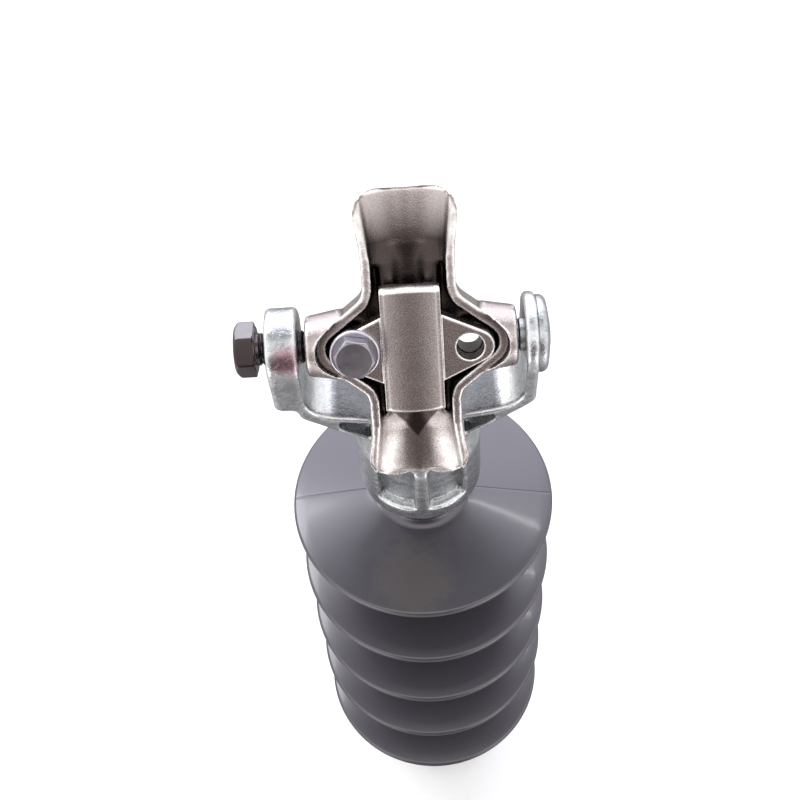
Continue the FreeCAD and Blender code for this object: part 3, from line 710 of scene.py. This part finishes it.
def painted_flat_mask(place, centre, way, reach):
    """Mask of one flat of a bolt's head, where painted light goes: 1 where a place lies as far out
    from the centre, along the flat's own direction, as the flat does."""
    out = vector_math("DOT_PRODUCT", vector_math("SUBTRACT", place, centre), way, "Value")
    return spread(out, reach * 0.955, reach * 0.98)


def rubber(name, colour, stain, coat=0.4):
    """Moulded silicone rubber: a glossy skin over a soft sheen, faint flow marks and, where asked,
    one faint brown stain."""
    material, place, surface = start_material(
        name, Specular_IOR_Level=1.0, Specular_Tint=(0.95, 0.93, 1.0, 1.0), Roughness=0.28,
        Coat_Weight=coat, Coat_Roughness=0.1)
    cloud = noise(place, 28.0, 2.0, 0.45)
    base = blend_colour(spread(cloud, 0.35, 0.65), shades(colour, 0.9), colour)
    if stain:
        spot = near_spot(place, *BROWN_STAIN)
        base = tint(base, spot, 0.3, (0.1, 0.085, 0.066))
    fine = noise(place, 1100.0, 2.0, 0.5)
    connect(surface, base, None, ((fine, 0.00002, 0.3),))
    return material


def zinc(name, colour, paint_mark):
    """Hot-dip galvanizing over cast iron: crystals, lumps and runs, bright worn edges that also
    carry the painted highlights, painted shade where it is stored, grey hollows and, where asked, a
    faded red paint mark."""
    material, place, surface = start_material(name, Metallic=1.0)
    spangle = place_group(place, "Zinc spangle", Scale=330.0, Lumps=520.0)
    grain = place_group(place, "Cast grain", Scale=1150.0)
    wear_and_highlight = place_group(place, "Worn edges", Amount=0.8)
    crystal = spread(spangle["Crystal"], 0.0, 1.0, 0.1, 1.0)
    base = blend_colour(crystal, shades(colour, 0.62), colour)
    base = tint(base, grain["Spots"], 0.35, shades(colour, 1.3))
    base = tint(base, wear_and_highlight["Hollow"], 0.55, (0.2, 0.21, 0.2))
    # Bright worn edges, with the yoke's painted highlights folded in.
    base = tint(base, wear_and_highlight["Edge"], 0.6, (0.9, 0.91, 0.92))
    # Painted shade on the yoke's floor.
    base = tint(base, stored(place, "painted_shade"), 0.88, (0.085, 0.085, 0.087))
    if paint_mark:
        spot = near_spot(place, *RED_PAINT)
        base = tint(base, spot, 0.5, (0.34, 0.06, 0.12))
    rough = spread(grain["Spots"], 0.0, 1.0, 0.36, 0.24)
    bumps = ((spangle["Height"], 0.0004, 0.5), (grain["Height"], 0.00014, 0.6))
    connect(surface, base, rough, bumps)
    return material


def aluminium(name, colour):
    """Blasted cast aluminium: even fine grain, warm grey, with bright worn edges, painted
    highlights on rims and lips, and painted shade in its depths and holes."""
    material, place, surface = start_material(name, Metallic=1.0)
    grain = place_group(place, "Cast grain", Scale=1500.0)
    wear_and_highlight = place_group(place, "Worn edges", Amount=1.0)
    painted_shade = stored(place, "painted_shade")
    cloud = noise(place, 45.0, 3.0, 0.5)
    base = blend_colour(spread(cloud, 0.3, 0.7), shades(colour, 0.88), colour)
    spots = times(grain["Spots"], 0.45)
    base = blend_colour(spots, shades(colour, 0.62), base)
    base = tint(base, wear_and_highlight["Hollow"], 0.6, (0.07, 0.05, 0.045))
    # Bright worn edges, with painted highlights on rims, lips and the near bell mouth's floor.
    base = tint(base, wear_and_highlight["Edge"], 0.85, (0.97, 0.95, 0.93))
    # Painted shade under the keeper, in the holes and down the trough, with the keeper's painted
    # shadow.
    base = tint(base, painted_shade, 0.93, (0.035, 0.024, 0.022))
    rough = spread(grain["Spots"], 0.0, 1.0, 0.3, 0.22)
    connect(surface, base, rough, ((grain["Height"], 0.00022, 0.9),))
    return material


def steel(name, colour, low_rough, high_rough, oil, flats=()):
    """Machined or plated steel: fine scratches, soft smudges and dark dust. Flats of a bolt's head
    that carry their own painted light, a highlight on one and shade on another, are given as
    (centre, way, reach, colour)."""
    material, place, surface = start_material(name, Metallic=0.95)
    smudge = noise(place, 160.0, 4.0, 0.6, 0.8)
    fine = noise(place, 2400.0, 3.0, 0.7)
    dust = place_group(place, "Dust", Scale=240.0)["Mask"]
    base = blend_colour(spread(smudge, 0.35, 0.7), colour, shades(colour, 0.78))
    base = tint(base, dust, oil, (0.035, 0.03, 0.028))
    # Painted highlight and painted shade on single flats of the head.
    for centre, way, reach, tone in flats:
        base = tint(base, painted_flat_mask(place, centre, way, reach), 0.85, tone)
    rough = spread(smudge, 0.3, 0.7, low_rough, high_rough)
    connect(surface, base, rough, ((smudge, 0.0002, 0.3), (fine, 0.00005, 0.5)))
    return material


def glass_fibre(name):
    """Resin-bonded glass fibre: fine straight streaks along the rod."""
    material, place, surface = start_material(name, Roughness=0.3)
    inputs = {"Vector": place, "Scale": (900.0, 900.0, 8.0)}
    streak = noise(add_node(place, "Mapping", inputs).outputs[0], 1.0, 2.0)
    base = blend_colour(streak, (0.42, 0.4, 0.2), (0.62, 0.6, 0.36))
    connect(surface, base, None, ((streak, 0.0001, 0.3),))
    return material


def dress(piece, material, body, slot_name, node):
    """Gives a new piece its material and body, and names the node that it stands for, which it
    hides. The slot name is not used.
    """
    piece.data.materials.clear()
    piece.data.materials.append(material)
    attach(piece, body)
    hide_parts(node)


def paint_node(node, material):
    """Gives a carried-over node its material."""
    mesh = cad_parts[node].data
    mesh.materials.clear()
    mesh.materials.append(material)


# Settings

def number(name, text, value, **limits):
    """Property for a number."""
    return FloatProperty(name=name, description=text, default=value, **limits)


def metres(name, text, value):
    """Property for a length in metres."""
    return number(name, text, value, unit="LENGTH", precision=5)


def rgb(name, text, value):
    """Property for a colour."""
    return FloatVectorProperty(
        name=name, description=text, default=value, subtype="COLOR", min=0, max=1)


class HousingSettings(PropertyGroup):
    rod_radius: metres("Rod radius", "Radius of the core rod inside the rubber", 0.019)
    sheath_radius: metres("Sheath radius", "Outside of the rubber between sheds", 0.023)
    shed_radius: metres("Shed radius", "Reach of a shed from the axis", 0.075)
    top_shed: metres("Top shed height", "Middle of the top shed's rim", 0.363)
    shed_pitch: metres("Shed pitch", "Distance from one shed to the next", 0.0655)
    sheds: IntProperty(name="Sheds", description="Number of sheds", default=5, min=1)
    rim: metres("Rim thickness", "Thickness of a shed at its rim", 0.005)
    low_end: metres("Lower end", "Where the rubber meets the base fitting", 0.074)
    high_end: metres("Upper end", "Where the rubber meets the top fitting", 0.398)
    ridge: metres("Mould line", "Height of the moulding ridge down both sides", 0.00015)
    rubber: rgb("Rubber", "Colour of the silicone rubber", (0.034, 0.031, 0.04))


class CastingSettings(PropertyGroup):
    yoke_step: metres("Top fitting faces", "Size of the top fitting's small faces", 0.00105)
    saddle_step: metres("Clamp faces", "Size of the clamp body's small faces", 0.00066)
    keeper_step: metres("Keeper faces", "Size of the keeper's small faces", 0.0004)
    base_step: metres("Base faces", "Size of the base fitting's small faces", 0.0011)
    zinc: rgb("Zinc", "Colour of the galvanizing", (0.5, 0.52, 0.535))
    aluminium: rgb("Aluminium", "Colour of the cast aluminium", (0.64, 0.57, 0.55))


class FastenerSettings(PropertyGroup):
    pivot_flats: metres("Pivot bolt flats", "Width across the pivot bolt's flats", 0.024)
    keeper_flats: metres("Keeper bolt flats", "Width across the keeper bolt's flats", 0.018)
    pivot_tip: metres("Pivot tip radius", "Radius of the ends in the clamp's sockets", 0.0069)
    pivot_pitch: metres("Pivot thread pitch", "Pitch of the pivot bolt's thread", 0.002)
    keeper_pitch: metres("Keeper thread pitch", "Pitch of the keeper bolt's thread", 0.00175)
    dark_steel: rgb("Dark steel", "Colour of the pivot bolt", (0.13, 0.11, 0.115))
    # Painted light on the pivot bolt's head: a lighter top flat and a darker front flat.
    painted_highlight_flat: rgb("Top flat", "Pivot bolt's upper flat", (0.235, 0.226, 0.232))
    painted_shade_flat: rgb("Front flat", "Pivot bolt's front flat", (0.05, 0.038, 0.04))
    plating: rgb("Plating", "Colour of the keeper bolt and washer", (0.34, 0.33, 0.37))


class StageSettings(PropertyGroup):
    floor: rgb("Floor", "Colour of the floor", (0.92, 0.92, 0.92))
    lamp_power: number("Lamps", "Power that the lamps take shares of", 26.0, min=0, unit="POWER")
    fill: number("Fill", "Strength of the room's light", 3.0, min=0)
    lens: number("Lens", "Focal length of the camera", 59.31, unit="CAMERA")


# Operators

class INSULATOR_OT_housing(Operator):
    """Rubber sheath and sheds, the sealant rings and the core rod"""
    bl_idname = "insulator.housing"
    bl_label = "Rubber housing"

    def execute(self, context):
        given = context.scene.insulator_housing
        line = rounded_profile(self.corners(given), 0.006)
        angles, away = self.angles()
        radius, height, _ = even_rows(line, angles)
        outside = radius > given.rod_radius + 0.1 * MM
        slope = np.gradient(line, axis=0)
        slope /= np.linalg.norm(slope, axis=1, keepdims=True) + 1e-12
        ridge = given.ridge * np.exp(-((radius * away / MOULD_LINE_WIDTH) ** 2)) * outside
        reach = climb(radius, given.sheath_radius, given.shed_radius - given.sheath_radius)
        sag = 0.22 * MM * reach ** 2 * np.sin(2 * angles + 14 * height)
        height = height + slope[:, :1] * ridge + sag * outside
        radius = radius + np.clip(slope[:, 1:], 0, 1) * ridge * 0.5
        radius = np.minimum(radius, given.shed_radius)
        height = np.clip(height, given.low_end, given.high_end)
        piece = turned_piece("rubber_housing", radius, height, angles, closed=True)
        dress(piece, rubber("silicone_grey", given.rubber, True), "post", "silicone", "housing")
        seal = rubber("sealant_grey", shades(given.rubber, 0.9), False, 0.5)
        for node in ("top_seal", "base_seal"):
            paint_node(node, seal)
        paint_node("core_rod", glass_fibre("glass_fibre_rod"))
        return {"FINISHED"}

    def corners(self, given):
        """Corners of the rubber's closed profile, as (radius, height, rounding)."""
        core, sheath, reach = given.rod_radius, given.sheath_radius, given.shed_radius
        span = reach - sheath
        corners = [(core, given.low_end, 0), (sheath, given.low_end, 0)]
        for i in reversed(range(given.sheds)):
            middle = given.top_shed - i * given.shed_pitch
            low, high = middle - given.rim / 2, middle + given.rim / 2
            corners += [
                (sheath, low + span * SHED_UNDER_SLOPE, SHED_ROOT_ROUND),
                (reach, low, SHED_RIM_ROUND),
                (reach, high, SHED_RIM_ROUND),
                (sheath, high + span * SHED_TOP_SLOPE, SHED_ROOT_ROUND),
            ]
        return corners + [(sheath, given.high_end, 0), (core, given.high_end, 0)]

    def angles(self):
        """Angles round the post, close together at both mould lines, and their distance to one."""
        close = np.radians([0, 0.22, 0.45, 0.75, 1.2, 2.0])
        rest = np.linspace(math.radians(3.2), math.pi - math.radians(3.2), 94)
        half = np.concatenate([close, rest, math.pi - close[:0:-1]])
        angles = np.concatenate([half, half + math.pi]) - MOULD_LINE_TURN
        return angles, np.abs((angles + MOULD_LINE_TURN + math.pi / 2) % math.pi - math.pi / 2)


class INSULATOR_OT_fittings(Operator):
    """Galvanized top fitting, base fitting and domed pivot pin"""
    bl_idname = "insulator.fittings"
    bl_label = "Galvanized fittings"

    def execute(self, context):
        given = context.scene.insulator_castings
        lumps = ((0.14 * MM, 0.011), (0.045 * MM, 0.004))
        # Painted shade on the yoke's floor and painted highlights on its inner feet.
        top = cast_skin("top_fitting", "yoke_casting", given.yoke_step, 5, lumps, 3,
                        painted_shade=yoke_painted_shade, highlight=yoke_painted_highlight)
        dress(top, zinc("zinc_top", given.zinc, True), "post", "galvanized", "top_fitting")
        lumps = ((0.07 * MM, 0.008),)
        base = cast_skin("base_fitting", "base_casting", given.base_step, 4, lumps, 5)
        lower = zinc("zinc_base", given.zinc, False)
        dress(base, lower, "post", "galvanized", "base_fitting")
        pin = self.pin(context.scene.insulator_fasteners.pivot_tip)
        dress(pin, lower, "post", "galvanized", "pivot_pin")
        return {"FINISHED"}

    def pin(self, tip):
        """Pivot pin turned about X: a turned-down tip, a plain shank and a low domed head."""
        low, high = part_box("pivot_pin")
        head = (high.z - low.z) / 2
        shank = 0.008
        face = high.x - 6.4 * MM
        line = rounded_profile([
            (0, low.x, 0), (tip, low.x, 0.0008), (tip, 0.0508, 0), (shank, 0.0516, 0),
            (shank, face, 0), (head, face, 0.0004), (head, face + 0.0044, 0.0035),
            (0.0066, high.x, 0.008), (0, high.x, 0),
        ], 0.0012, 9)
        axis = np.array([[0, 0, 1], [0, 1, 0], [-1, 0, 0]], float)
        return turned_piece("domed_pin", *even_rows(line), axis=axis, start=PIVOT)


class INSULATOR_OT_clamp(Operator):
    """Aluminium clamp body and keeper"""
    bl_idname = "insulator.clamp"
    bl_label = "Aluminium clamp"

    def execute(self, context):
        given = context.scene.insulator_castings
        metal = aluminium("blasted_aluminium", given.aluminium)
        # Painted shade in the saddle and painted highlights on its rim and lips.
        body = cast_skin(
            "clamp_body", "saddle_casting", given.saddle_step, 7, ((0.05 * MM, 0.014),), 11,
            level=trough_share, shift=flare, painted_shade=saddle_painted_shade, extra=add_webs, highlight=saddle_painted_highlight,
            tilt=CLAMP_TILT)
        dress(body, metal, "clamp", "cast_aluminium", "clamp_body")
        # Painted shade in the keeper's holes and painted highlights on its lips and ends.
        bar = cast_skin(
            "keeper", "keeper_casting", given.keeper_step, 3, ((0.03 * MM, 0.010),), 12,
            level=keeper_ends, shift=keeper_fall, painted_shade=keeper_painted_shade, highlight=keeper_painted_highlight,
            tilt=CLAMP_TILT)
        dress(bar, metal, "clamp", "cast_aluminium", "keeper")
        return {"FINISHED"}


class INSULATOR_OT_fasteners(Operator):
    """Threaded pivot bolt, keeper bolt and its washer"""
    bl_idname = "insulator.fasteners"
    bl_label = "Bolts and washer"

    def execute(self, context):
        given = context.scene.insulator_fasteners
        dress(*self.pivot_bolt(given), "post", "dark_steel", "pivot_bolt")
        plated = steel("zinc_plating", given.plating, 0.26, 0.42, 0.12)
        dress(self.keeper_bolt(given), plated, "clamp", "zinc_plate", "keeper_bolt")
        # Painted highlight: the washer's plating is drawn twice as bright as the bolt's.
        bright = steel("zinc_washer_painted_highlight", shades(given.plating, 2), 0.18, 0.28, 0.08)
        dress(self.washer(), bright, "clamp", "zinc_plate", "keeper_washer")
        return {"FINISHED"}

    def pivot_bolt(self, given):
        """Pivot bolt along X and its material, with a painted highlight on its top flat and painted
        shade on its front flat.
        """
        low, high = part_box("pivot_bolt")
        head = 0.010
        turn = math.radians(47.3)
        start = (low.x + head, 0, PIVOT[2])
        axis = np.array([[0, 0, -1], [0, 1, 0], [1, 0, 0]], float)
        rows = hexagon_bolt(
            given.pivot_flats, head, radius=0.008, length=high.x - low.x - head,
            pitch=given.pivot_pitch, plain=1.4 * MM, bare=7.8 * MM, turn=turn, tip=given.pivot_tip)
        bolt = turned_piece("pivot_screw", *rows, axis=axis, start=start, crisp=24)
        painted_flat_tones = ((turn - TURN / 12, given.painted_highlight_flat), (turn - TURN / 4, given.painted_shade_flat))
        flats = [
            (start, (0, math.sin(angle), math.cos(angle)), given.pivot_flats / 2, tone)
            for angle, tone in painted_flat_tones
        ]
        return bolt, steel("dark_bolt", given.dark_steel, 0.19, 0.32, 0.35, flats)

    def keeper_bolt(self, given):
        """Keeper bolt, head up, on the washer."""
        rows = hexagon_bolt(
            given.keeper_flats, head=0.0075, radius=0.006 - 0.05 * MM, length=0.0247,
            pitch=given.keeper_pitch, plain=1.2 * MM, bare=1.5 * MM, turn=math.radians(50),
            tip=0.005)
        start = self.over_hole(KEEPER_LUG_TOP + WASHER_THICK)
        return turned_piece("keeper_screw", *rows, axis=CLAMP_TURN, start=start, crisp=24)

    def washer(self):
        """Plain washer, a ring with softly stamped edges, on the keeper's left lug."""
        hole, rim = 0.0066, 0.012
        ring = rounded_profile([
            (hole, 0.0012, 0), (hole, WASHER_THICK, 0.0002), (rim, WASHER_THICK, 0.0011),
            (rim, 0.0, 0.0005), (hole, 0.0, 0.0002), (hole, 0.0012, 0),
        ], 0.0015, 7)[:-1]
        return turned_piece("plain_washer", *even_rows(ring), closed=True, axis=CLAMP_TURN,
                            start=self.over_hole(KEEPER_LUG_TOP), crisp=50)

    def over_hole(self, up):
        """Place on the axis of the clamp's left bolt hole, at a height in the clamp's own frame."""
        return PIVOT + CLAMP_TURN @ np.array([-HOLE_ACROSS, 0, up])


# Each lamp: its place, the way its long side runs, its width and height in metres, its power share.
LAMPS = {
    "lamp_left": ((-0.95, 0.55, 1.35), (0.3, -0.2, 0.9), 0.5, 0.5, 0.2),
    "lamp_right": ((0.73, 0.555, 1.79), (0.833, -0.43, -0.224), 0.32, 0.03, 0.028),
    "lamp_low_left": ((-0.6, -0.75, 0.1), (1.0, 0.0, 0.0), 0.5, 0.4, 0.045),
    "lamp_low_right": ((0.6, -0.75, 0.1), (1.0, 0.0, 0.0), 0.5, 0.4, 0.045),
}
LAMP_TARGET = Vector((0, 0, 0.4))
# Brightness of the room, from low in front (0) past high in front (0.5) and overhead (0.8) to high
# behind (1).
ROOM_TONES = [
    (0.2, (0.05, 0.037, 0.034)),
    (0.27, (0.075, 0.06, 0.057)),
    (0.33, (0.24, 0.222, 0.22)),
    (0.4, (0.5, 0.49, 0.49)),
    (0.64, (0.5, 0.49, 0.49)),
    (0.75, (0.12, 0.12, 0.122)),
    (0.84, (0.09, 0.09, 0.094)),
    (0.89, (0.5, 0.5, 0.54)),
    (0.93, (0.85, 0.85, 0.93)),
]
# Brightness of the floor in reflections, from far out in front (0) to under the post (1), where
# it darkens as a painted shadow.
FLOOR_TONES = [
    (0.0, (0.12, 0.095, 0.09)),
    (0.3, (0.9, 0.88, 0.87)),
    (0.8, (0.9, 0.89, 0.88)),
    (0.95, (0.42, 0.41, 0.4)),
]
FLOOR_HALF = 6.0
FLOOR_HEIGHT = -0.0005
CAMERA_PLACE = (0.0044, -0.3712, 1.0365)
CAMERA_RISE = math.radians(56.84)
CAMERA_SIDE = math.radians(1.96)
CAMERA_ROLL = math.radians(-4.92)


class INSULATOR_OT_stage(Operator):
    """Pale floor, soft lamps, room light and the camera"""
    bl_idname = "insulator.stage"
    bl_label = "Floor, light and camera"

    def execute(self, context):
        scene = context.scene
        given = scene.insulator_stage
        square = np.array([[-1, -1], [1, -1], [1, 1], [-1, 1]]) * FLOOR_HALF
        corners = np.column_stack([square, np.full(4, FLOOR_HEIGHT)])
        floor = new_object("studio_floor", corners, np.array([[0, 1, 2, 3]]))
        floor.data.materials.append(self.paper(given))
        for name, (spot, along, wide, tall, share) in LAMPS.items():
            light = bpy.data.lights.new(name, "AREA")
            light.shape = "RECTANGLE"
            light.size = wide
            light.size_y = tall
            light.energy = given.lamp_power * share
            lamp = put_in_scene(name, light)
            lamp.visible_camera = False
            back = (Vector(spot) - LAMP_TARGET).normalized()
            side = (Vector(along) - back * back.dot(Vector(along))).normalized()
            turn = Matrix((side, back.cross(side), back)).transposed().to_4x4()
            lamp.matrix_world = Matrix.Translation(spot) @ turn
        scene.view_settings.view_transform = "Standard"
        self.room(scene, given)
        self.camera(scene, given)
        return {"FINISHED"}

    def to_the_eye(self, seen, other, leave):
        """Links an output to one shader for what the camera sees and another for all the rest."""
        ray = add_node(leave, "LightPath").outputs["Is Camera Ray"]
        mixed = add_node(leave, "MixShader", {0: ray, 1: other.outputs[0], 2: seen.outputs[0]})
        set_input(leave, "Surface", mixed.outputs[0])

    def paper(self, given):
        """White paper to the eye. In reflections it is dim far out in front, darker under the post
        as a painted shadow, and brown along the middle as a painted shadow of the camera."""
        material, place, surface = start_material("pale_floor", Roughness=0.85)
        cloud = noise(place, 3.0, 2.0)
        connect(surface, blend_colour(cloud, shades(given.floor, 0.985), given.floor))
        x, y, _ = add_node(place, "SeparateXYZ", {"Vector": place}).outputs
        # Seen in reflections: dim far out in front, and a painted shadow under the post.
        dim = ramp(spread(y, -2.4, 0.0), FLOOR_TONES)
        # Painted shadow of the camera: brown along the middle.
        beside = spread(calculate("ABSOLUTE", x), 0.12, 0.5)
        brown = blend_colour(0.65, dim, (0.1, 0.08, 0.076))
        other = add_node(place, "BsdfDiffuse", {"Color": blend_colour(beside, brown, dim)})
        self.to_the_eye(surface, other, material.node_tree.nodes["Material Output"])
        return material

    def room(self, scene, given):
        """Room light: strong behind, dim overhead, bright high in front and at both sides, brown
        and dim low in front. To the eye it is plain white."""
        world = bpy.data.worlds.new("studio_room")
        scene.world = world
        world.use_nodes = True
        tree = world.node_tree
        tree.nodes.clear()
        way = add_node(tree, "TexCoord").outputs["Generated"]
        back = vector_math("DOT_PRODUCT", way, (0, 0.8, 0.6), "Value")
        tone = ramp(spread(back, -1.0, 1.0), ROOM_TONES)
        sideways = add_node(tree, "SeparateXYZ", {"Vector": way}).outputs[0]
        side = spread(calculate("ABSOLUTE", sideways), 0.3, 0.75)
        tone = blend_colour(side, tone, (0.5, 0.5, 0.5), "LIGHTEN")
        room = add_node(tree, "Background", {"Color": tone, "Strength": given.fill})
        white = add_node(tree, "Background", {"Color": (1, 1, 1, 1), "Strength": 1.0})
        self.to_the_eye(white, room, add_node(tree, "OutputWorld"))

    def camera(self, scene, given):
        """Camera in front, high and slightly rolled, looking down at the clamp."""
        data = bpy.data.cameras.new("camera")
        data.lens = given.lens
        data.sensor_width = 36.0
        camera = put_in_scene("camera", data)
        flat = math.cos(CAMERA_RISE)
        back = Vector((
            math.sin(CAMERA_SIDE) * flat, -math.cos(CAMERA_SIDE) * flat, math.sin(CAMERA_RISE)))
        right = (-back).cross(Vector((0, 0, 1))).normalized()
        up = right.cross(-back)
        across = right * math.cos(CAMERA_ROLL) + up * math.sin(CAMERA_ROLL)
        along = up * math.cos(CAMERA_ROLL) - right * math.sin(CAMERA_ROLL)
        turn = Matrix((across, along, back)).transposed().to_4x4()
        camera.matrix_world = Matrix.Translation(CAMERA_PLACE) @ turn
        scene.camera = camera


OPERATORS = (
    INSULATOR_OT_housing,
    INSULATOR_OT_fittings,
    INSULATOR_OT_clamp,
    INSULATOR_OT_fasteners,
    INSULATOR_OT_stage,
)


class INSULATOR_PT_parts(Panel):
    """Lists the pieces of the insulator and its stage"""
    bl_idname = "INSULATOR_PT_parts"
    bl_label = "Line post insulator"
    bl_space_type = "VIEW_3D"
    bl_region_type = "UI"
    bl_category = "Insulator"

    def draw(self, context):
        for operator in OPERATORS:
            self.layout.operator(operator.bl_idname)


SETTINGS = {
    "insulator_housing": HousingSettings,
    "insulator_castings": CastingSettings,
    "insulator_fasteners": FastenerSettings,
    "insulator_stage": StageSettings,
}


CLASSES = (*SETTINGS.values(), *OPERATORS, INSULATOR_PT_parts)


def register():
    for kind in CLASSES:
        bpy.utils.register_class(kind)
    for name, kind in SETTINGS.items():
        setattr(bpy.types.Scene, name, PointerProperty(type=kind))


def unregister():
    for name in SETTINGS:
        delattr(bpy.types.Scene, name)
    for kind in reversed(CLASSES):
        bpy.utils.unregister_class(kind)


def main():
    register()
    bpy.ops.insulator.housing()
    bpy.ops.insulator.fittings()
    bpy.ops.insulator.clamp()
    bpy.ops.insulator.fasteners()
    bpy.ops.insulator.stage()


if __name__ == "__main__":
    main()
